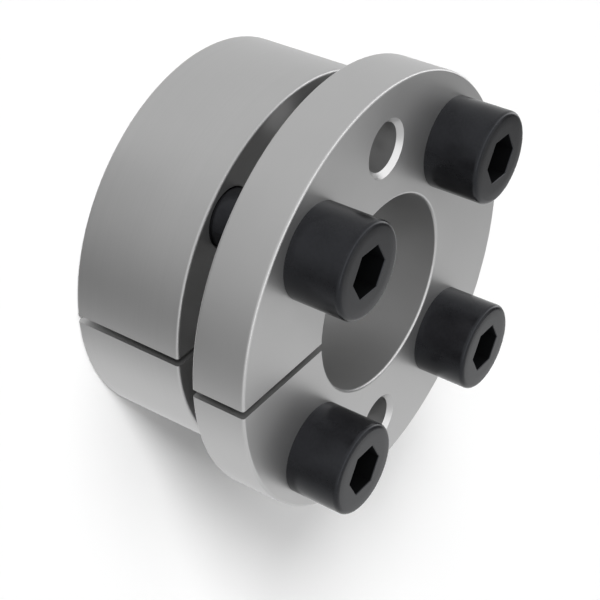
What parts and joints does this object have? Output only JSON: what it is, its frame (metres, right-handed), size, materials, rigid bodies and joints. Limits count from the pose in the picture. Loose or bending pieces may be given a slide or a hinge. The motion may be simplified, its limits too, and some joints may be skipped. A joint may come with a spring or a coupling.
{
  "type": "keyless locking device",
  "caption": "Two slit steel rings with mating tapers, drawn together by socket head screws to lock a hub onto a plain shaft without a key.",
  "frame": {"origin": "centre of the shaft bore in the plane of the two rings' back faces, on which the device stands", "axes": "+Z along the shaft axis from the back faces to the flange and screw heads; both slits face -Y; the jacking holes lie on +X and -X"},
  "size_m": [0.062, 0.062, 0.038],
  "materials": {
    "ring_steel": "satin",
    "screw_steel": "black oxide"
  },
  "bodies": {
    "outer_ring": {"outer_ring": "ring_steel"},
    "inner_ring": {"inner_ring": "ring_steel"},
    "clamp_screw_1": {"clamp_screw_1": "screw_steel"},
    "clamp_screw_2": {"clamp_screw_2": "screw_steel"},
    "clamp_screw_3": {"clamp_screw_3": "screw_steel"},
    "clamp_screw_4": {"clamp_screw_4": "screw_steel"}
  },
  "joints": [
    {"name": "clamp_screw_1_turn", "type": "hinge", "parent": "inner_ring", "child": "clamp_screw_1", "pos_m": [0.01591, 0.01591, 0.03], "axis": [0, 0, 1], "range_deg": [0, 720]},
    {"name": "clamp_screw_2_turn", "type": "hinge", "parent": "inner_ring", "child": "clamp_screw_2", "pos_m": [-0.01591, 0.01591, 0.03], "axis": [0, 0, 1], "range_deg": [0, 720]},
    {"name": "clamp_screw_3_turn", "type": "hinge", "parent": "inner_ring", "child": "clamp_screw_3", "pos_m": [-0.01591, -0.01591, 0.03], "axis": [0, 0, 1], "range_deg": [0, 720]},
    {"name": "clamp_screw_4_turn", "type": "hinge", "parent": "inner_ring", "child": "clamp_screw_4", "pos_m": [0.01591, -0.01591, 0.03], "axis": [0, 0, 1], "range_deg": [0, 720]},
    {"name": "taper_slide", "type": "slide", "parent": "outer_ring", "child": "inner_ring", "axis": [0, 0, 1], "range_m": [0, 0.0025]}
  ],
  "couplings": [
    {"joint": "clamp_screw_1_turn", "follows": "taper_slide", "rad_per_m": 5026.5},
    {"joint": "clamp_screw_2_turn", "follows": "taper_slide", "rad_per_m": 5026.5},
    {"joint": "clamp_screw_3_turn", "follows": "taper_slide", "rad_per_m": 5026.5},
    {"joint": "clamp_screw_4_turn", "follows": "taper_slide", "rad_per_m": 5026.5}
  ]
}
